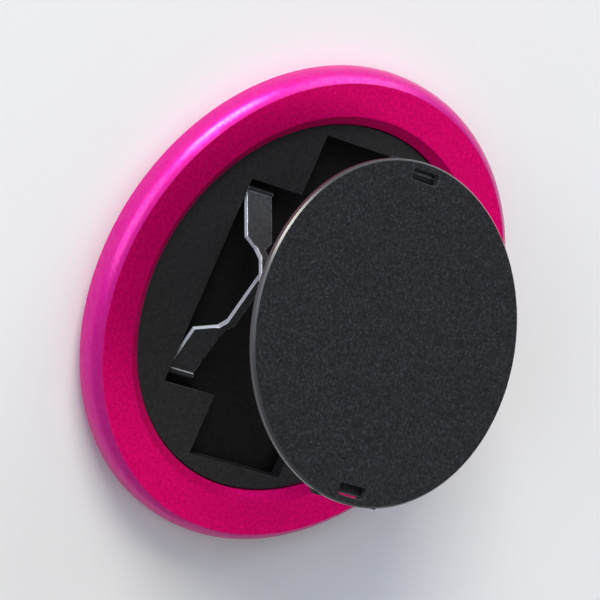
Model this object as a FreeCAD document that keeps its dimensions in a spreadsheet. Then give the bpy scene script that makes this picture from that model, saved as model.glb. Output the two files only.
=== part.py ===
import FreeCAD, Part
import math
import os
import re
import Sketcher

# A magnetic phone grip: a turned ring with a turntable in it, two crossed arms and a grip disc.
# Frame: origin at the middle of the face that meets the phone, +Z away from the phone,
# Y along the arms, X along their hinges. The grip stands open and rocked, as it is held.

# Driving dimensions in millimetres and degrees
SIZES = {
    "ring_radius": 28.0,
    "ring_lift": 0.5,
    "ring_wall": 0.9,
    "ring_roof": 0.75,
    "shoulder_width": 1.2,
    "shoulder_radius": 2.4,
    "foot_chamfer": 0.7,
    "face_dish": 0.2,
    "chamfer_width": 1.1,
    "chamfer_depth": 0.75,
    "channel_width": 3.2,
    "step_wall": 0.75,
    "rim_stand": 0.15,
    "pad_thickness": 0.45,
    "pad_width": 6.3,
    "pad_inset": 0.3,
    "plate_thickness": 0.5,
    "flux_thickness": 0.45,
    "magnet_gap_angle": 1.6,
    "fit_gap": 0.05,
    "glide_thickness": 0.1,
    "glide_width": 1.9,
    "layer_gap": 0.02,
    "running_gap": 0.15,
    "flange_width": 1.35,
    "flange_thickness": 0.5,
    "floor_inset": 1.2,
    "floor_thickness": 0.25,
    "slot_height": 1.3,
    "slot_margin": 0.4,
    "lip_thickness": 0.25,
    "lip_gap": 1.2,
    "crescent_width": 7.45,
    "tongue_side_gap": 2.2,
    "tongue_end_gap": 0.5,
    "slide_travel": 3.3,
    "slide_overrun": 0.45,
    "roller_radius": 0.4,
    "roller_length": 0.6,
    "stub_radius": 0.25,
    "stub_gap": 0.03,
    "free_drop": 0.215,
    "bar_radius": 0.4,
    "sheet_thickness": 0.5,
    "arm_clearance": 0.15,
    "arm_side_gap": 0.5,
    "foot_width": 3.6,
    "foot_length": 5.7,
    "foot_step": 1.1,
    "joggle_length": 1.4,
    "neck_step": 1.4,
    "neck_width": 1.1,
    "neck_gap": 0.3,
    "cross_bar_width": 2.4,
    "cross_bar_slope": 0.8,
    "cross_bar_gap": 0.3,
    "tab_half_width": 2.3,
    "tab_length": 1.95,
    "hinge_bar_half_length": 4.2,
    "finger_groove": 2.7,
    "disc_thickness": 0.88,
    "disc_gap": 0.1,
    "disc_chamfer": 0.2,
    "disc_tilt": 16.0,
    "hinge_inset": 1.55,
    "hinge_drop": 0.52,
    "hinge_gap": 0.05,
    "slot_length": 4.0,
    "slot_width": 1.35,
    "slot_corner": 0.45,
    "saddle_half_width": 4.6,
    "saddle_side_gap": 0.2,
    "saddle_wall": 0.32,
    "saddle_near": 0.95,
    "saddle_far": 1.25,
    "saddle_bevel": 0.45,
    "bridge_start": 0.6,
}
MAGNET_COUNT = 16

# Heights, radii and the open linkage, worked out from the driving dimensions
WORKED_OUT = {
    "plate_top": "pad_thickness + plate_thickness",
    "glide_top": "plate_top + glide_thickness",
    "table_bottom": "glide_top + layer_gap",
    "flange_top": "table_bottom + flange_thickness",
    "step_top": "flange_top + running_gap",
    "floor_top": "table_bottom + floor_thickness",
    "slot_roof": "floor_top + slot_height",
    "table_top": "slot_roof + lip_thickness",
    "disc_bottom": "table_top + disc_gap",
    "disc_top": "disc_bottom + disc_thickness",
    "ring_top": "disc_top + rim_stand",
    "channel_roof": "ring_top - face_dish - ring_roof",
    "channel_outer": "ring_radius - ring_wall",
    "channel_inner": "channel_outer - channel_width",
    "step_radius": "channel_inner - step_wall",
    "flange_radius": "step_radius - running_gap",
    "table_radius": "flange_radius - flange_width",
    "opening_radius": "table_radius + running_gap",
    "floor_radius": "table_radius - floor_inset",
    "recess_half_width": "table_radius - crescent_width",
    "tongue_half_width": "saddle_half_width + tongue_side_gap",
    "disc_radius": "opening_radius - finger_groove",
    "hinge_offset": "disc_radius - hinge_inset",
    "tongue_reach": "hinge_offset + saddle_far + tongue_end_gap",
    "crest_radius": "ring_radius - shoulder_width",
    "shoulder_rise": "sqrt(shoulder_radius ^ 2 - (shoulder_radius - shoulder_width) ^ 2)",
    "magnet_top": "channel_roof - flux_thickness",
    "magnet_pitch": "360 / %d" % MAGNET_COUNT,
    "slide_axis": "floor_top + slot_height / 2",
    "slot_reach": "recess_half_width + roller_length + running_gap",
    "slot_outer": "sqrt((table_radius - slot_margin) ^ 2 - slot_reach ^ 2)",
    "folded_slide": "slot_outer - slide_overrun - roller_radius",
    "open_slide": "folded_slide - slide_travel",
    "slot_inner": "open_slide - roller_radius - running_gap / 2",
    "lip_edge": "open_slide + lip_gap",
    "arm_reach": "folded_slide + hinge_offset",
    "arm_rise": "disc_bottom - hinge_drop - slide_axis",
    "arm_span": "sqrt(arm_reach ^ 2 + arm_rise ^ 2)",
    "fold_slope": "atan(arm_rise / arm_reach)",
    "link_y": "2 * open_slide + 2 * hinge_offset * cos(disc_tilt)",
    "link_z": "free_drop - 2 * hinge_offset * sin(disc_tilt)",
    "link_span": "sqrt(link_y ^ 2 + link_z ^ 2)",
    "outer_angle": "acos(link_span / (2 * arm_span)) - atan(link_z / link_y)",
    "lower_hinge_y": "open_slide - arm_span * cos(outer_angle)",
    "lower_hinge_z": "slide_axis + arm_span * sin(outer_angle)",
    "upper_hinge_y": "lower_hinge_y + 2 * hinge_offset * cos(disc_tilt)",
    "upper_hinge_z": "lower_hinge_z - 2 * hinge_offset * sin(disc_tilt)",
    "inner_angle": "asin((upper_hinge_z - slide_axis + free_drop) / arm_span)",
    "outer_turn": "outer_angle - fold_slope",
    "inner_turn": "inner_angle - fold_slope",
    "foot_bottom": "-bar_radius",
    "foot_top": "sheet_thickness - bar_radius",
    "arm_top": "disc_bottom - arm_clearance - slide_axis",
    "arm_bottom": "arm_top - sheet_thickness",
    "joggle_start": "foot_length + foot_step",
    "joggle_end": "joggle_start + joggle_length",
    "cross_far": "folded_slide + lip_edge - cross_bar_gap",
    "cross_near": "cross_far - cross_bar_width",
    "cross_corner": "cross_far - cross_bar_width / 2",
    "tab_near": "arm_reach - tab_length",
    "foot_edge": "recess_half_width - arm_side_gap",
    "foot_inside": "foot_edge - foot_width",
    "outer_neck_edge": "foot_edge - neck_step",
    "outer_neck": "outer_neck_edge - neck_width",
    "inner_neck_edge": "outer_neck - neck_gap",
    "inner_neck": "inner_neck_edge - neck_width",
    "saddle_depth": "bar_radius + hinge_gap + saddle_wall",
    "saddle_inside": "tab_half_width + saddle_side_gap",
}

doc = FreeCAD.newDocument("phone_grip")
sheet = doc.addObject("Spreadsheet::Sheet", "Sizes")
ALL_NAMES = list(SIZES) + list(WORKED_OUT)
for row, name in enumerate(ALL_NAMES, start=1):
    cell = "B%d" % row
    sheet.set("A%d" % row, name)
    sheet.set(cell, str(SIZES[name]) if name in SIZES else "=" + WORKED_OUT[name])
    sheet.setAlias(cell, name)
doc.recompute()


def bound(text):
    """The expression that reads the named cells of the sheet."""
    return re.sub(r"[a-z]\w*", lambda word: "Sizes." + word[0] if word[0] in ALL_NAMES else word[0], text)


def value(text):
    """The present value of such an expression, as a plain number."""
    number = sheet.evalExpression(bound(text))
    return float(getattr(number, "Value", number))


def tie(item, **properties):
    """Binds each property of an object to its expression."""
    for name, text in properties.items():
        item.setExpression(name.replace("__", "."), bound(text))


def new_body(label):
    body = doc.addObject("PartDesign::Body", label)
    body.Label = label
    return body


def new_sketch(body, plane, height=None):
    """A sketch on one of the body's own planes, lifted along that plane's normal."""
    sketch = body.newObject("Sketcher::SketchObject", body.Name + "_outline")
    origin_plane = next(item for item in body.Origin.OriginFeatures if item.Role == plane)
    sketch.AttachmentSupport = [(origin_plane, "")]
    sketch.MapMode = "FlatFace"
    if height:
        tie(sketch, AttachmentOffset__Base__z=height)
    return sketch


def hold(sketch, kind, geometry, point, text):
    """Adds one dimension to the sketch, bound to the sheet."""
    place = (geometry,) if point is None else (geometry, point)
    index = sketch.addConstraint(Sketcher.Constraint(kind, *place, value(text)))
    sketch.setExpression("Constraints[%d]" % index, bound(text))


def bulge(start, end, radius):
    """The arc that runs counter-clockwise from start to end."""
    chord = end - start
    depth = math.sqrt(radius ** 2 - (chord.Length / 2) ** 2)
    centre = (start + end) * 0.5 + FreeCAD.Vector(-chord.y, chord.x).normalize() * depth
    angles = [math.atan2(point.y - centre.y, point.x - centre.x) for point in (start, end)]
    return Part.ArcOfCircle(Part.Circle(centre, FreeCAD.Vector(0, 0, 1), radius), *angles)


def polygon(sketch, corners, arcs=()):
    """A closed outline through the corners: straight sides, but arcs of the radii given by side."""
    arcs = dict(arcs)
    points = [FreeCAD.Vector(value(across), value(along)) for across, along in corners]
    first = sketch.GeometryCount
    for side, (start, end) in enumerate(zip(points, points[1:] + points[:1])):
        if side in arcs:
            sketch.addGeometry(bulge(start, end, value(arcs[side])))
        else:
            sketch.addGeometry(Part.LineSegment(start, end))
    for side in range(len(points)):
        following = first + (side + 1) % len(points)
        sketch.addConstraint(Sketcher.Constraint("Coincident", first + side, 2, following, 1))
    for side, (across, along) in enumerate(corners):
        hold(sketch, "DistanceX", first + side, 1, across)
        hold(sketch, "DistanceY", first + side, 1, along)
    for side, radius in arcs.items():
        hold(sketch, "Radius", first + side, None, radius)


def circle(sketch, across, along, radius):
    centre = FreeCAD.Vector(value(across), value(along))
    index = sketch.addGeometry(Part.Circle(centre, FreeCAD.Vector(0, 0, 1), value(radius)))
    hold(sketch, "DistanceX", index, 3, across)
    hold(sketch, "DistanceY", index, 3, along)
    hold(sketch, "Radius", index, None, radius)


def mirrored(corners):
    """The same outline on the other side of the middle plane."""
    return [("-(%s)" % across, along) for across, along in corners]


def turn(body, corners, arcs=()):
    """Revolves a profile of radius and height about Z."""
    sketch = new_sketch(body, "XZ_Plane")
    polygon(sketch, corners, arcs)
    feature = body.newObject("PartDesign::Revolution", body.Name + "_turned")
    feature.Profile = sketch
    feature.ReferenceAxis = (sketch, ["V_Axis"])
    feature.Angle = 360
    doc.recompute()


def pad(body, sketch, length, centred=False):
    feature = body.newObject("PartDesign::Pad", body.Name + "_pad")
    feature.Profile = sketch
    feature.Midplane = centred
    tie(feature, Length=length)
    doc.recompute()


def pocket(body, sketch, length=None, upwards=False):
    """Cuts an outline through the whole body, or to a depth, and checks that it did cut."""
    before = body.Shape.Volume
    feature = body.newObject("PartDesign::Pocket", body.Name + "_cut")
    feature.Profile = sketch
    feature.Reversed = upwards
    if length:
        tie(feature, Length=length)
    else:
        feature.Type = "ThroughAll"
        feature.Midplane = True
    doc.recompute()
    if not body.Shape.Volume < before:
        raise RuntimeError(body.Label + ": a cut removed nothing")


def dress(body, kind, size, text, chosen):
    """A fillet or chamfer on the edges of the body that the test picks."""
    base = body.Tip
    names = ["Edge%d" % (i + 1) for i, edge in enumerate(base.Shape.Edges) if chosen(edge)]
    feature = body.newObject("PartDesign::" + kind, body.Name + "_" + kind.lower())
    feature.Base = (base, names)
    tie(feature, **{size: text})
    doc.recompute()


def annulus(label, inner, outer, bottom, top):
    body = new_body(label)
    turn(body, [(inner, bottom), (outer, bottom), (outer, top), (inner, top)])
    return body


nodes = []

# Outer ring: turned profile with a round shoulder, a dished face, a magnet channel and a turntable step
outer_ring = new_body("outer_ring")
outer_profile = [
    ("step_radius", "step_top"),
    ("step_radius", "plate_top"),
    ("channel_inner", "plate_top"),
    ("channel_inner", "channel_roof"),
    ("channel_outer", "channel_roof"),
    ("channel_outer", "ring_lift"),
    ("ring_radius - foot_chamfer", "ring_lift"),
    ("ring_radius", "ring_lift + foot_chamfer"),
    ("ring_radius", "ring_top - shoulder_rise"),
    ("crest_radius", "ring_top"),
    ("opening_radius + chamfer_width", "ring_top - face_dish"),
    ("opening_radius", "ring_top - face_dish - chamfer_depth"),
    ("opening_radius", "step_top"),
]
shoulder_side = outer_profile.index(("crest_radius", "ring_top")) - 1
turn(outer_ring, outer_profile, {shoulder_side: "shoulder_radius"})
nodes.append(outer_ring)

# Back plate, phone pad, flux ring and glide ring: plain turned rings and a plate
nodes.append(annulus("phone_pad", "channel_outer - pad_inset - pad_width", "channel_outer - pad_inset",
                     "0", "pad_thickness"))
back_plate = new_body("back_plate")
turn(back_plate, [
    ("0", "pad_thickness"),
    ("channel_outer - fit_gap", "pad_thickness"),
    ("channel_outer - fit_gap", "plate_top"),
    ("0", "plate_top"),
])
nodes.append(back_plate)
nodes.append(annulus("flux_ring", "channel_inner + fit_gap", "channel_outer - fit_gap",
                     "magnet_top", "channel_roof"))
nodes.append(annulus("glide_ring", "flange_radius - glide_width", "flange_radius", "plate_top", "glide_top"))

# Magnets: arcs side by side in the channel, between the back plate and the flux ring
for number in range(MAGNET_COUNT):
    label = "magnet_%02d" % (number + 1)
    sectors = []
    for radius in ("channel_outer - fit_gap", "channel_inner + fit_gap"):
        sector = doc.addObject("Part::Cylinder", label + "_sector")
        tie(sector, Radius=radius, Height="magnet_top - plate_top", Angle="magnet_pitch - magnet_gap_angle")
        sectors.append(sector)
    magnet = doc.addObject("Part::Cut", label)
    magnet.Label = label
    magnet.Base, magnet.Tool = sectors
    magnet.Placement.Rotation.Axis = FreeCAD.Vector(0, 0, 1)
    tie(magnet, Placement__Base__z="plate_top", Placement__Rotation__Angle="magnet_pitch * %d" % number)
    nodes.append(magnet)

# Turntable frame: flanged plate with a cross-shaped recess and four roller slots under its lips
turntable_frame = new_body("turntable_frame")
turn(turntable_frame, [
    ("0", "floor_top"),
    ("floor_radius + fit_gap", "floor_top"),
    ("floor_radius + fit_gap", "table_bottom"),
    ("flange_radius", "table_bottom"),
    ("flange_radius", "flange_top"),
    ("table_radius", "flange_top"),
    ("table_radius", "table_top"),
    ("0", "table_top"),
])
recess = new_sketch(turntable_frame, "XY_Plane")
recess_quarter = [("tongue_half_width", "tongue_reach"), ("tongue_half_width", "lip_edge"),
                  ("recess_half_width", "lip_edge")]
recess_half = recess_quarter + [(across, "-(%s)" % along) for across, along in reversed(recess_quarter)]
polygon(recess, recess_half + mirrored(reversed(recess_half)))
pocket(turntable_frame, recess)
roller_slots = new_sketch(turntable_frame, "XY_Plane", "floor_top")
for near, far in (("slot_inner", "slot_outer"), ("-slot_outer", "-slot_inner")):
    slot = [("tongue_half_width", near), ("slot_reach", near),
            ("slot_reach", far), ("tongue_half_width", far)]
    polygon(roller_slots, slot)
    polygon(roller_slots, mirrored(slot))
pocket(turntable_frame, roller_slots, "slot_height", upwards=True)
nodes.append(turntable_frame)

# Turntable floor: thin steel plate, bonded into the seat under the frame
turntable_floor = doc.addObject("Part::Cylinder", "turntable_floor")
turntable_floor.Label = "turntable_floor"
tie(turntable_floor, Radius="floor_radius", Height="floor_thickness", Placement__Base__z="table_bottom")
nodes.append(turntable_floor)


def roller(label, start, along, height):
    """A short tube along X that runs on an arm's stub."""
    tubes = []
    for radius in ("roller_radius", "stub_radius + stub_gap"):
        tube = doc.addObject("Part::Cylinder", label + "_tube")
        tube.Placement.Rotation = FreeCAD.Rotation(FreeCAD.Vector(0, 1, 0), 90)
        tie(tube, Radius=radius, Height="roller_length")
        tubes.append(tube)
    ring = doc.addObject("Part::Cut", label)
    ring.Label = label
    ring.Base, ring.Tool = tubes
    tie(ring, Placement__Base__x=start, Placement__Base__y=along, Placement__Base__z=height)
    nodes.append(ring)


def both_rollers(label, along, height):
    roller("left_" + label, "-(recess_half_width + running_gap / 2 + roller_length)", along, height)
    roller("right_" + label, "recess_half_width + running_gap / 2", along, height)


def arm(label, facing, neck, along, height, turned):
    """One formed arm: a joggled sheet with rolled edges, cut to a two-footed frame.

    It is drawn lying folded, with its foot axis at the origin, and then turned up about that axis.
    """
    body = new_body(label)

    def ahead(text):
        return "%s(%s)" % (facing, text)

    side = new_sketch(body, "YZ_Plane")
    polygon(side, [
        (ahead("0"), "foot_bottom"),
        (ahead("joggle_start"), "foot_bottom"),
        (ahead("joggle_end"), "arm_bottom"),
        (ahead("arm_reach"), "arm_bottom"),
        (ahead("arm_reach"), "arm_top"),
        (ahead("joggle_end - sheet_thickness / 2"), "arm_top"),
        (ahead("joggle_start - sheet_thickness / 2"), "foot_top"),
        (ahead("0"), "foot_top"),
    ])
    pad(body, side, "2 * foot_edge", centred=True)
    for radius, reach in (("bar_radius", "foot_edge"), ("stub_radius", "slot_reach - running_gap / 2")):
        foot_bar = new_sketch(body, "YZ_Plane")
        circle(foot_bar, "0", "0", radius)
        pad(body, foot_bar, "2 * (%s)" % reach, centred=True)
    plan = new_sketch(body, "XY_Plane")
    window = [
        ("foot_inside", ahead("-2 * bar_radius")),
        ("foot_inside", ahead("foot_length")),
        (neck, ahead("joggle_start")),
        (neck, ahead("cross_near - cross_bar_slope")),
        (neck + " - cross_bar_slope", ahead("cross_near")),
    ]
    polygon(plan, window + mirrored(reversed(window)))
    edge = [
        ("slot_reach", ahead("foot_length")),
        ("foot_edge", ahead("foot_length")),
        (neck + "_edge", ahead("joggle_start")),
        (neck + "_edge", ahead("cross_corner")),
        ("tongue_half_width - arm_side_gap", ahead("cross_far")),
        ("tab_half_width", ahead("tab_near")),
        ("tab_half_width", ahead("arm_reach + bar_radius")),
        ("slot_reach", ahead("arm_reach + bar_radius")),
    ]
    polygon(plan, edge)
    polygon(plan, mirrored(edge))
    pocket(body, plan)
    hinge_bar = new_sketch(body, "YZ_Plane")
    circle(hinge_bar, ahead("arm_reach"), "arm_rise", "bar_radius")
    pad(body, hinge_bar, "2 * hinge_bar_half_length", centred=True)
    body.Placement.Rotation.Axis = FreeCAD.Vector(1, 0, 0)
    tie(body, Placement__Base__y=along, Placement__Base__z=height, Placement__Rotation__Angle=turned)
    nodes.append(body)


# Outer arm: feet at the upper slots, hinge bar at the disc's lower slot
both_rollers("slide_roller", "open_slide", "slide_axis")
arm("outer_arm", "-", "outer_neck", "open_slide", "slide_axis", "-outer_turn")

# Inner arm: feet at the lower slots, necks inside those of the outer arm, hinge bar at the disc's upper slot
free_along = "upper_hinge_y - arm_span * cos(inner_angle)"
free_height = "slide_axis - free_drop"
both_rollers("free_roller", free_along, free_height)
arm("inner_arm", "", "inner_neck", free_along, free_height, "inner_turn")


def lay_on_disc(item):
    """Moves a piece drawn about the middle of the two hinge axes to the open, rocked disc."""
    item.Placement.Rotation.Axis = FreeCAD.Vector(1, 0, 0)
    tie(item, Placement__Base__y="(lower_hinge_y + upper_hinge_y) / 2",
        Placement__Base__z="(lower_hinge_z + upper_hinge_z) / 2", Placement__Rotation__Angle="-disc_tilt")
    nodes.append(item)


# Grip disc: thin plate with chamfered rims and two rounded slots over the hinge bars
grip_disc = new_body("grip_disc")
turn(grip_disc, [
    ("0", "hinge_drop"),
    ("disc_radius - disc_chamfer", "hinge_drop"),
    ("disc_radius", "hinge_drop + disc_chamfer"),
    ("disc_radius", "hinge_drop + disc_thickness - disc_chamfer"),
    ("disc_radius - disc_chamfer", "hinge_drop + disc_thickness"),
    ("0", "hinge_drop + disc_thickness"),
])
disc_slots = new_sketch(grip_disc, "XY_Plane")
for middle in ("hinge_offset", "-hinge_offset"):
    polygon(disc_slots, [
        ("-slot_length / 2", middle + " - slot_width / 2"),
        ("slot_length / 2", middle + " - slot_width / 2"),
        ("slot_length / 2", middle + " + slot_width / 2"),
        ("-slot_length / 2", middle + " + slot_width / 2"),
    ])
pocket(grip_disc, disc_slots)


def slot_corner(edge):
    return abs(abs(edge.CenterOfMass.x) - value("slot_length / 2")) < 1e-4 and abs(edge.tangentAt(0).z) > 0.99


dress(grip_disc, "Fillet", "Radius", "slot_corner", slot_corner)
lay_on_disc(grip_disc)


def saddle(label, facing):
    """Two ears joined by a bridge on the rim side, bored for an arm's hinge bar."""
    body = new_body(label)

    def out(text):
        return "%s(hinge_offset + %s)" % (facing, text)

    side = new_sketch(body, "YZ_Plane")
    polygon(side, [
        (out("-saddle_near"), "hinge_drop"),
        (out("-saddle_near"), "saddle_bevel - saddle_depth"),
        (out("saddle_bevel - saddle_near"), "-saddle_depth"),
        (out("saddle_far - 2 * saddle_bevel"), "-saddle_depth"),
        (out("saddle_far"), "2 * saddle_bevel - saddle_depth"),
        (out("saddle_far"), "hinge_drop"),
    ])
    pad(body, side, "2 * saddle_half_width", centred=True)
    bore = new_sketch(body, "YZ_Plane")
    circle(bore, out("0"), "0", "bar_radius + hinge_gap")
    pocket(body, bore)
    gap = new_sketch(body, "XY_Plane")
    corners = [("saddle_inside", out("-2 * saddle_near")), ("saddle_inside", out("bridge_start"))]
    polygon(gap, corners + mirrored(reversed(corners)))
    pocket(body, gap)
    lay_on_disc(body)


# Hinge saddles: fixed under the disc, one for each arm's hinge bar
saddle("lower_saddle", "-")
saddle("upper_saddle", "")

# Every object has to be sound before anything is written
doc.recompute()
for item in doc.Objects:
    if "Invalid" in item.State or "Error" in item.State:
        raise RuntimeError("%s is not sound: %s" % (item.Label, item.State))
for node in nodes:
    if node.Shape.isNull() or not node.Shape.isValid():
        raise RuntimeError(node.Label + " has no valid shape")

os.makedirs("parts", exist_ok=True)
for node in nodes:
    node.Shape.exportStep("parts/%s.step" % node.Label)
for name in ("open_slide", "folded_slide", "slide_axis", "arm_reach", "arm_rise", "outer_turn", "inner_turn",
             "lower_hinge_y", "lower_hinge_z", "upper_hinge_y", "upper_hinge_z"):
    print(name, round(value(name), 5))
print("free roller", round(value(free_along), 5), round(value(free_height), 5))
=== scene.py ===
import bpy
import math
from mathutils import Matrix, Vector

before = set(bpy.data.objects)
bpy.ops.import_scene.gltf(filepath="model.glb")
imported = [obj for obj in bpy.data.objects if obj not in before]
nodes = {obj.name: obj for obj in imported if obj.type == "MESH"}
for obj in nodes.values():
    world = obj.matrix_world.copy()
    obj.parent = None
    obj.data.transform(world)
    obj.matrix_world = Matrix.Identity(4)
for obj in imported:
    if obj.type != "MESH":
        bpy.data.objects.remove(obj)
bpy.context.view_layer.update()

# Outer ring: aluminium turned in one piece, with a face blasted by fine beads and a polished
# shoulder, dyed pink as it is anodised. The shoulder's pink is painted lighter and bluer, as
# painted light, and its edges are painted lighter here and there, as a painted highlight.
# Every finish lies in object coordinates, so that it stays on its piece as the grip moves.
BLASTED_PINKS = ((0.30, (0.68, 0.0016, 0.130)), (0.70, (0.94, 0.0028, 0.190)))
PAINTED_SHOULDER_PINK = (0.64, 0.0038, 0.290)
PAINTED_EDGE_PINK = (0.90, 0.030, 0.34)
GRAZING_PINK = (1.0, 0.16, 0.50, 1.0)
RING_GLOSSES = ((0.2, 0.34), (0.8, 0.42))
RING_ROUND = 0.00012
RING_HIGHLIGHT_BREAKS = (0.35, 0.75)
CREST = 0.02708
CREST_BLEND = 0.00006
POLISH_AND_PAINTED_TINT = 0.9
POLISH_BREAKS = (0.15, 0.62)
BEAD_DEPTH = 0.00002
BEVEL_SAMPLES = 6
EDGE_STOPS = ((0.80, 1.0), (0.97, 0.0))


def new_finish(name):
    """A new material, its node tree, its shader and the coordinates of its textures."""
    material = bpy.data.materials.new(name)
    material.use_nodes = True
    tree = material.node_tree
    shader = next(node for node in tree.nodes if node.type == "BSDF_PRINCIPLED")
    place = tree.nodes.new("ShaderNodeTexCoord")
    return material, tree, shader, place


def settle(shader, **values):
    """Sets the shader's own values, which are named with _ for each space."""
    for name, value in values.items():
        shader.inputs[name.replace("_", " ")].default_value = value


def grain(tree, place, per_metre, detail=3.0, roughness=0.55):
    """Cloudy noise with a number of cells per metre."""
    texture = tree.nodes.new("ShaderNodeTexNoise")
    texture.inputs["Scale"].default_value = per_metre
    texture.inputs["Detail"].default_value = detail
    texture.inputs["Roughness"].default_value = roughness
    tree.links.new(place.outputs["Object"], texture.inputs["Vector"])
    return texture.outputs["Fac"]


def spread(tree, factor, *stops):
    """Colours, or greys given as one number, spread over a factor by (position, colour) stops."""
    node = tree.nodes.new("ShaderNodeValToRGB")
    elements = node.color_ramp.elements
    while len(elements) < len(stops):
        elements.new(1.0)
    for element, (position, colour) in zip(elements, stops):
        element.position = position
        element.color = (*colour, 1.0) if isinstance(colour, tuple) else (*(colour,) * 3, 1.0)
    tree.links.new(factor, node.inputs["Fac"])
    return node.outputs["Color"]


def layer(tree, mask, under, over):
    """The colour under where the mask is zero, over where it is one, and a mix between."""
    node = tree.nodes.new("ShaderNodeMix")
    node.data_type = "RGBA"
    tree.links.new(mask, node.inputs["Factor"])
    tree.links.new(under, node.inputs["A"])
    node.inputs["B"].default_value = (*over, 1.0)
    return node.outputs["Result"]


def soft_edges(tree, radius):
    """Normals rounded over a radius at the edges, and a mask of those edges.

    The mask follows the cosine between the rounded normal and the face's own.
    """
    rounded = tree.nodes.new("ShaderNodeBevel")
    rounded.inputs["Radius"].default_value = radius
    rounded.samples = BEVEL_SAMPLES
    flat = tree.nodes.new("ShaderNodeNewGeometry")
    agreement = tree.nodes.new("ShaderNodeVectorMath")
    agreement.operation = "DOT_PRODUCT"
    tree.links.new(rounded.outputs["Normal"], agreement.inputs[0])
    tree.links.new(flat.outputs["Normal"], agreement.inputs[1])
    mask = spread(tree, agreement.outputs["Value"], *EDGE_STOPS)
    return rounded.outputs["Normal"], mask


def broken(tree, mask, noise, low, high):
    """A mask times a noise, which rises from zero at its low value to one at its high value."""
    node = tree.nodes.new("ShaderNodeMath")
    node.operation = "MULTIPLY"
    tree.links.new(mask, node.inputs[0])
    tree.links.new(spread(tree, noise, (low, 0.0), (high, 1.0)), node.inputs[1])
    return node.outputs["Value"]


def raise_grain(tree, shader, height, depth, normal=None):
    """Bump from a height texture, to a depth in metres, over normals that may be rounded."""
    node = tree.nodes.new("ShaderNodeBump")
    node.inputs["Distance"].default_value = depth
    tree.links.new(height, node.inputs["Height"])
    if normal:
        tree.links.new(normal, node.inputs["Normal"])
    tree.links.new(node.outputs["Normal"], shader.inputs["Normal"])


def away(tree, place):
    """The distance in metres from the object's origin."""
    node = tree.nodes.new("ShaderNodeVectorMath")
    node.operation = "LENGTH"
    tree.links.new(place.outputs["Object"], node.inputs[0])
    return node.outputs["Value"]


def finish_nodes(material, *names):
    """Puts a material on the named pieces."""
    for name in names:
        nodes[name].material_slots[0].material = material


material, tree, shader, place = new_finish("anodised_pink")
beads = grain(tree, place, per_metre=2600.0, detail=2.0, roughness=0.6)
cloud = grain(tree, place, per_metre=240.0)
rounded, edges = soft_edges(tree, RING_ROUND)
# The shoulder is what lies beyond the crest, and its polish fades in over a hair's breadth,
# as does the lighter, bluer pink that is painted on it as painted light
beyond = tree.nodes.new("ShaderNodeMapRange")
beyond.inputs["From Min"].default_value = CREST - CREST_BLEND
beyond.inputs["From Max"].default_value = CREST + CREST_BLEND
beyond.inputs["To Max"].default_value = POLISH_AND_PAINTED_TINT
tree.links.new(away(tree, place), beyond.inputs["Value"])
polish_and_painted_tint = beyond.outputs["Result"]
# Painted light: the shoulder is given a lighter, bluer pink than the face
dyed_and_painted = layer(tree, polish_and_painted_tint, spread(tree, beads, *BLASTED_PINKS), PAINTED_SHOULDER_PINK)
# Painted highlight: the ring's edges are painted a lighter, bluer pink, broken up by the cloud
ring_painted_highlight = broken(tree, edges, cloud, *RING_HIGHLIGHT_BREAKS)
tree.links.new(layer(tree, ring_painted_highlight, dyed_and_painted, PAINTED_EDGE_PINK), shader.inputs["Base Color"])
tree.links.new(spread(tree, cloud, *RING_GLOSSES), shader.inputs["Roughness"])
tree.links.new(broken(tree, polish_and_painted_tint, beads, *POLISH_BREAKS), shader.inputs["Coat Weight"])
settle(shader, Metallic=0.6, Coat_Roughness=0.24)
settle(shader, Specular_IOR_Level=0.1, Specular_Tint=GRAZING_PINK)
raise_grain(tree, shader, beads, BEAD_DEPTH, rounded)
finish_nodes(material, "outer_ring")

# Magnets: sintered arcs with a bright nickel plating, which is a little cloudy.
# They are set side by side in the ring's channel, between the back plate and the flux ring.
MAGNETS = 16


def grained(name, noise, tints, glosses, depth):
    """A finish whose colour, roughness and height all follow one grain."""
    material, tree, shader, place = new_finish(name)
    texture = grain(tree, place, **noise)
    tree.links.new(spread(tree, texture, *tints), shader.inputs["Base Color"])
    tree.links.new(spread(tree, texture, *glosses), shader.inputs["Roughness"])
    raise_grain(tree, shader, texture, depth)
    return material, shader


material, shader = grained(
    "nickel_plating",
    noise=dict(per_metre=1200.0),
    tints=((0.3, (0.55, 0.53, 0.49)), (0.7, (0.66, 0.64, 0.60))),
    glosses=((0.3, 0.30), (0.7, 0.20)),
    depth=0.000003,
)
settle(shader, Metallic=1.0)
finish_nodes(material, *("magnet_%02d" % (number + 1) for number in range(MAGNETS)))

# Flux ring: a flat ring punched from cold-rolled steel strip and left plain.
# It lies over the magnets in the same channel.
material, shader = grained(
    "rolled_steel",
    noise=dict(per_metre=1500.0, detail=4.0),
    tints=((0.3, 0.40), (0.7, 0.52)),
    glosses=((0.3, 0.38), (0.7, 0.28)),
    depth=0.000005,
)
settle(shader, Metallic=1.0)
finish_nodes(material, "flux_ring")

# Back plate: moulded black plastic, bonded to the ring, which it closes from behind.
# It has the fine grain of a spark-eroded mould, and its edges are rubbed a little paler.


def edge_worn(name, noise, tints, glosses, depth, radius, blotches, wear, edge):
    """A grained finish whose rounded edges show another colour, where a second grain is high."""
    material, tree, shader, place = new_finish(name)
    texture = grain(tree, place, **noise)
    rounded, edges = soft_edges(tree, radius)
    mask = broken(tree, edges, grain(tree, place, **blotches), *wear)
    tint = spread(tree, texture, *tints)
    tree.links.new(layer(tree, mask, tint, edge), shader.inputs["Base Color"])
    tree.links.new(spread(tree, texture, *glosses), shader.inputs["Roughness"])
    raise_grain(tree, shader, texture, depth, rounded)
    return material, shader


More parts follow.
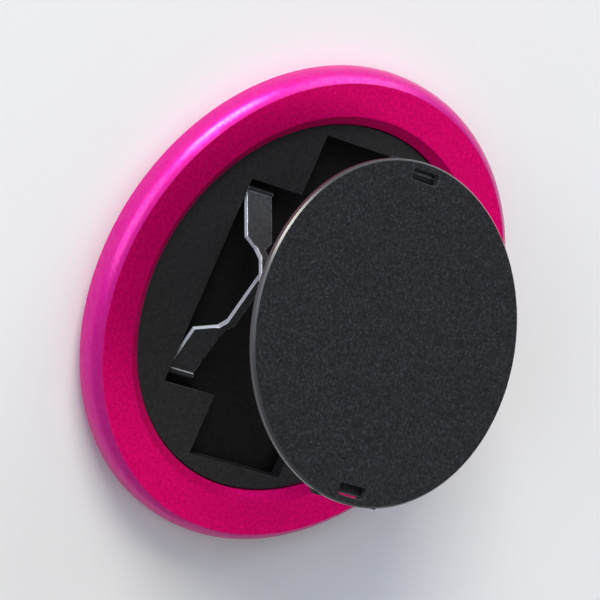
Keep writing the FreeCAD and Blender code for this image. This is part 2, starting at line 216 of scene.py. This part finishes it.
moulded_black, shader = edge_worn(
    "moulded_black",
    noise=dict(per_metre=2600.0),
    tints=((0.3, (0.0080, 0.0080, 0.0085)), (0.7, (0.0170, 0.0170, 0.0180))),
    glosses=((0.3, 0.58), (0.7, 0.44)),
    depth=0.000015,
    radius=0.0001,
    blotches=dict(per_metre=2600.0),
    wear=(0.3, 0.7),
    edge=(0.050, 0.050, 0.053),
)
settle(shader, Specular_IOR_Level=0.4)
finish_nodes(moulded_black, "back_plate")

# Soft pad: a thin ring of black silicone, moulded and bonded under the back plate.
# Its skin is dull and carries a little dust.
material, shader = grained(
    "soft_silicone",
    noise=dict(per_metre=700.0, detail=5.0, roughness=0.7),
    tints=((0.3, (0.010, 0.010, 0.011)), (0.75, (0.030, 0.030, 0.032))),
    glosses=((0.3, 0.85), (0.7, 0.68)),
    depth=0.00002,
)
settle(shader, Sheen_Weight=0.15)
finish_nodes(material, "phone_pad")

# Glide ring: a thin slick film, punched and laid under the turntable's flange so that it turns
# without rattle. It is milky, with clearer clouds.
material, shader = grained(
    "slip_film",
    noise=dict(per_metre=900.0),
    tints=((0.3, (0.72, 0.72, 0.69)), (0.7, (0.84, 0.84, 0.81))),
    glosses=((0.3, 0.45), (0.7, 0.35)),
    depth=0.000004,
)
finish_nodes(material, "glide_ring")

# Turntable frame: a die-cast plate with a matte black coat, a little coarser than the disc's.
# Its flange runs under the ring's step, and the arms have rubbed the edges of its recess.
material, shader = edge_worn(
    "black_casting",
    noise=dict(per_metre=2200.0, detail=4.0, roughness=0.65),
    tints=((0.32, (0.0070, 0.0070, 0.0074)), (0.70, (0.0190, 0.0190, 0.0200))),
    glosses=((0.3, 0.66), (0.7, 0.50)),
    depth=0.000025,
    radius=0.00012,
    blotches=dict(per_metre=350.0),
    wear=(0.35, 0.65),
    edge=(0.070, 0.071, 0.075),
)
settle(shader, Specular_IOR_Level=0.3)
finish_nodes(material, "turntable_frame")

# Turntable floor: thin steel plate, oxidised black and bonded into the seat under the frame,
# where it closes the recess. It is painted a deeper black than the frame, as painted shade
# in the recess.
# Painted shade: the floor is painted the deepest black, for the shade in the recess
material, shader = grained(
    "black_oxide_and_painted_shade",
    noise=dict(per_metre=1600.0, detail=4.0, roughness=0.6),
    tints=((0.3, 0.0020), (0.7, 0.0050)),
    glosses=((0.3, 0.72), (0.7, 0.58)),
    depth=0.000008,
)
settle(shader, Specular_IOR_Level=0.15)
finish_nodes(material, "turntable_floor")

# Rollers: short lengths of drawn steel tube that turn on the arms' stubs.
# The slots that they run in keep them bright.
material, shader = grained(
    "drawn_steel",
    noise=dict(per_metre=1800.0, detail=4.0),
    tints=((0.3, 0.36), (0.7, 0.50)),
    glosses=((0.3, 0.36), (0.7, 0.24)),
    depth=0.000004,
)
settle(shader, Metallic=1.0)
finish_nodes(material, "left_slide_roller", "right_slide_roller")
finish_nodes(material, "left_free_roller", "right_free_roller")

# Arms: two frames cut from steel sheet, joggled at the feet and blackened, each with a hinge bar.
# The faces keep the black, and the sheared edges, which meet them square, show bare steel,
# painted brighter and bluer than steel as a painted reflection.
OUTER_ARM_TURN = -36.25
INNER_ARM_TURN = 16.95
ARM_BLACKS = ((0.3, (0.0120, 0.0122, 0.0130)), (0.7, (0.0260, 0.0265, 0.0285)))
ARM_GLOSSES = ((0.3, 0.58), (0.7, 0.46))
ARM_ROUND = 0.00018
ARM_WEAR_AND_GLINT = (0.35, 0.65)
ARM_DEPTH = 0.000008
SHEARED_STOPS = ((0.30, 1.0), (0.62, 0.0))
BARE_STEEL_PAINTED_BRIGHT = (0.66, 0.72, 0.80)
BARE_METALS = ((0.0, 0.0), (1.0, 0.5))
BARE_GLOSS = (0.34, 0.34, 0.34)
BARE_BREAKS = (0.05, 0.35)


def facing(tree, place, turned):
    """The size of the normal's part along a direction, which is Z turned about X by an angle.

    It is one on a face that looks that way, and zero on an edge that meets the face square.
    """
    angle = math.radians(turned)
    along = tree.nodes.new("ShaderNodeVectorMath")
    along.operation = "DOT_PRODUCT"
    along.inputs[1].default_value = (0.0, -math.sin(angle), math.cos(angle))
    tree.links.new(place.outputs["Normal"], along.inputs[0])
    size = tree.nodes.new("ShaderNodeMath")
    size.operation = "ABSOLUTE"
    tree.links.new(along.outputs["Value"], size.inputs[0])
    return size.outputs["Value"]


def blackened_sheet(name, turned):
    """Black where the normal runs along the sheet's, which is turned about X, and bare elsewhere.

    The bare mask is the greater of the sheared faces and the worn edges, broken up by the grain.
    Its bare steel is painted brighter and bluer, as a painted reflection.
    """
    material, tree, shader, place = new_finish(name)
    oxide = grain(tree, place, per_metre=2000.0, detail=4.0, roughness=0.6)
    rounded, edges = soft_edges(tree, ARM_ROUND)
    bare = tree.nodes.new("ShaderNodeMath")
    bare.operation = "MAXIMUM"
    sheared = spread(tree, facing(tree, place, turned), *SHEARED_STOPS)
    tree.links.new(sheared, bare.inputs[0])
    tree.links.new(broken(tree, edges, oxide, *ARM_WEAR_AND_GLINT), bare.inputs[1])
    mask = broken(tree, bare.outputs["Value"], oxide, *BARE_BREAKS)
    tint = spread(tree, oxide, *ARM_BLACKS)
    gloss = spread(tree, oxide, *ARM_GLOSSES)
    # Painted reflection: the bare steel is painted brighter and bluer than steel
    tree.links.new(layer(tree, mask, tint, BARE_STEEL_PAINTED_BRIGHT), shader.inputs["Base Color"])
    tree.links.new(layer(tree, mask, gloss, BARE_GLOSS), shader.inputs["Roughness"])
    tree.links.new(spread(tree, mask, *BARE_METALS), shader.inputs["Metallic"])
    settle(shader, Specular_IOR_Level=0.3)
    raise_grain(tree, shader, oxide, ARM_DEPTH, rounded)
    return material


finish_nodes(blackened_sheet("blackened_outer_sheet", OUTER_ARM_TURN), "outer_arm")
finish_nodes(blackened_sheet("blackened_inner_sheet", INNER_ARM_TURN), "inner_arm")

# Hinge saddles: moulded in the same black plastic as the back plate and bonded under the disc.
# The arms' hinge bars snap into their bores.
finish_nodes(moulded_black, "lower_saddle", "upper_saddle")

# Grip disc: thin metal plate under a matte black powder coat with a fine, faintly blue speckle.
# The coat is smooth on the chamfered rim, which shines where light grazes it, and the rim is
# painted a lighter black as painted sheen. Every edge, along the slots too, is painted a paler
# grey as a painted highlight.
DISC_TILT = -16.0
DISC_BLACKS = ((0.36, (0.0055, 0.0058, 0.0066)), (0.66, (0.0150, 0.0158, 0.0180)))
DISC_GLOSSES = ((0.3, 0.62), (0.7, 0.50))
DISC_PAINTED_EDGE_GREY = (0.110, 0.112, 0.118)
DISC_ROUND = 0.00012
DISC_DEPTH = 0.00002
FLECK_BLUE = (0.0380, 0.0425, 0.0520)
FLECK_STOPS = ((0.62, 0.0), (1.0, 0.8))
FLECKS_PER_METRE = 5200.0
RIM_BLACK = (0.026, 0.028, 0.031)
RIM_GLOSS = (0.32, 0.32, 0.32)
RIM_HEIGHT = (0.5, 0.5, 0.5)
RIM_STOPS = ((0.74, 1.0), (0.94, 0.0))
material, tree, shader, place = new_finish("speckled_black")
speckle = grain(tree, place, per_metre=2800.0, detail=2.0, roughness=0.6)
cells = tree.nodes.new("ShaderNodeTexVoronoi")
cells.inputs["Scale"].default_value = FLECKS_PER_METRE
tree.links.new(place.outputs["Object"], cells.inputs["Vector"])
rounded, edges = soft_edges(tree, DISC_ROUND)
rim = spread(tree, facing(tree, place, DISC_TILT), *RIM_STOPS)
flecks = spread(tree, cells.outputs["Color"], *FLECK_STOPS)
flecked = layer(tree, flecks, spread(tree, speckle, *DISC_BLACKS), FLECK_BLUE)
# Painted highlight: every edge is painted a paler grey
disc_painted_highlight = layer(tree, edges, flecked, DISC_PAINTED_EDGE_GREY)
gloss = spread(tree, speckle, *DISC_GLOSSES)
# Painted sheen: the rim is painted a lighter black than the rest of the coat
tree.links.new(layer(tree, rim, disc_painted_highlight, RIM_BLACK), shader.inputs["Base Color"])
tree.links.new(layer(tree, rim, gloss, RIM_GLOSS), shader.inputs["Roughness"])
tree.links.new(rim, shader.inputs["Coat Weight"])
settle(shader, Specular_IOR_Level=0.16, Coat_IOR=1.5, Coat_Roughness=0.3)
raise_grain(tree, shader, layer(tree, rim, speckle, RIM_HEIGHT), DISC_DEPTH, rounded)
finish_nodes(material, "grip_disc")

# Floor: one large sheet of pale paper, a hair below the pad that the grip stands on.
# It is greyer further out, towards the lamps, so that no part of it burns out.
FLOOR_HALF = 1.5
FLOOR_LEVEL = -0.00002
FLOOR_GREYS = ((0.08, 0.90), (0.40, 0.66), (1.00, 0.50))
corners = [(x * FLOOR_HALF, y * FLOOR_HALF, FLOOR_LEVEL)
           for x, y in ((-1, -1), (1, -1), (1, 1), (-1, 1))]
floor_mesh = bpy.data.meshes.new("studio_floor")
floor_mesh.from_pydata(corners, [], [(0, 1, 2, 3)])
floor = bpy.data.objects.new("studio_floor", floor_mesh)
bpy.context.scene.collection.objects.link(floor)
material, tree, shader, place = new_finish("pale_floor")
tree.links.new(spread(tree, away(tree, place), *FLOOR_GREYS), shader.inputs["Base Color"])
settle(shader, Roughness=0.9, Specular_IOR_Level=0.0)
floor_mesh.materials.append(material)

# Light: an even pale world, three broad low panels and a brighter key among them, which the
# round shoulder mirrors, and a weak panel overhead for the flat faces.
# The lamps stand far off, so that they light the floor evenly.
TARGET = Vector((0.0, 0.0, 0.006))
WORLD_TINT = (0.96, 0.98, 1.0, 1.0)
WORLD_LIGHT = 0.24
WORLD_SEEN = 0.40
SKY = (0.76, 0.82, 1.0)
LAMP = (1.0, 0.94, 0.80)
WHITE = (1.0, 1.0, 1.0)
PANELS = (("left_panel", (-0.89, 0.10, 0.42)), ("corner_panel", (-0.46, 0.77, 0.44)),
          ("back_panel", (0.36, 0.84, 0.36)))
world = bpy.data.worlds.new("studio")
bpy.context.scene.world = world
world.use_nodes = True
tree = world.node_tree
backdrop = tree.nodes["Background"]
backdrop.inputs["Color"].default_value = WORLD_TINT
ray = tree.nodes.new("ShaderNodeLightPath")
mirrored = tree.nodes.new("ShaderNodeMath")
mirrored.operation = "MAXIMUM"
tree.links.new(ray.outputs["Is Camera Ray"], mirrored.inputs[0])
tree.links.new(ray.outputs["Is Glossy Ray"], mirrored.inputs[1])
strength = tree.nodes.new("ShaderNodeMapRange")
strength.inputs["To Min"].default_value = WORLD_LIGHT
strength.inputs["To Max"].default_value = WORLD_SEEN
tree.links.new(mirrored.outputs["Value"], strength.inputs["Value"])
tree.links.new(strength.outputs["Result"], backdrop.inputs["Strength"])


def softbox(name, direction, distance, width, height, radiance, colour):
    """A rectangular lamp that looks at the grip from a direction.

    Its energy is pi times its area times its radiance.
    """
    light = bpy.data.lights.new(name, "AREA")
    light.shape = "RECTANGLE"
    light.size = width
    light.size_y = height
    light.color = colour
    light.energy = radiance * math.pi * width * height
    lamp = bpy.data.objects.new(name, light)
    bpy.context.scene.collection.objects.link(lamp)
    lamp.location = TARGET + Vector(direction).normalized() * distance
    lamp.rotation_euler = (TARGET - lamp.location).to_track_quat("-Z", "Y").to_euler()


for name, direction in PANELS:
    softbox(name, direction, distance=2.4, width=1.68, height=1.36, radiance=3.0, colour=SKY)
softbox("key", (-0.50, 0.76, 0.38),
        distance=2.0, width=1.00, height=0.50, radiance=23.0, colour=LAMP)
softbox("overhead", (0.55, -0.05, 0.80),
        distance=2.8, width=1.80, height=1.60, radiance=0.45, colour=WHITE)

# Camera: where the photograph was taken from, with a longer lens, so that the grip fills the view.
# The three directions are those of the picture's right edge, its lower edge and its depth.
LENS_PIXELS = 4320.0
FRAME_PIXELS = 600.0
SENSOR = 36.0
EYE = Vector((-0.31081, 0.06535, 0.36319))
RIGHT = Vector((0.7365, 0.3959, 0.5485))
DOWN = Vector((0.2218, -0.9074, 0.3571))
FORWARD = Vector((0.6391, -0.1413, -0.7561))
AIM_RIGHT = 0.0105
AIM_DOWN = -0.0030
forward = (FORWARD + RIGHT * AIM_RIGHT + DOWN * AIM_DOWN).normalized()
right = (RIGHT - forward * RIGHT.dot(forward)).normalized()
up = right.cross(forward)
camera = bpy.data.cameras.new("photo_camera")
camera.sensor_width = SENSOR
camera.lens = SENSOR * LENS_PIXELS / FRAME_PIXELS
viewer = bpy.data.objects.new("photo_camera", camera)
bpy.context.scene.collection.objects.link(viewer)
viewer.matrix_world = Matrix((
    (right.x, up.x, -forward.x, EYE.x),
    (right.y, up.y, -forward.y, EYE.y),
    (right.z, up.z, -forward.z, EYE.z),
    (0.0, 0.0, 0.0, 1.0),
))
bpy.context.scene.camera = viewer
bpy.context.scene.view_settings.view_transform = "Standard"
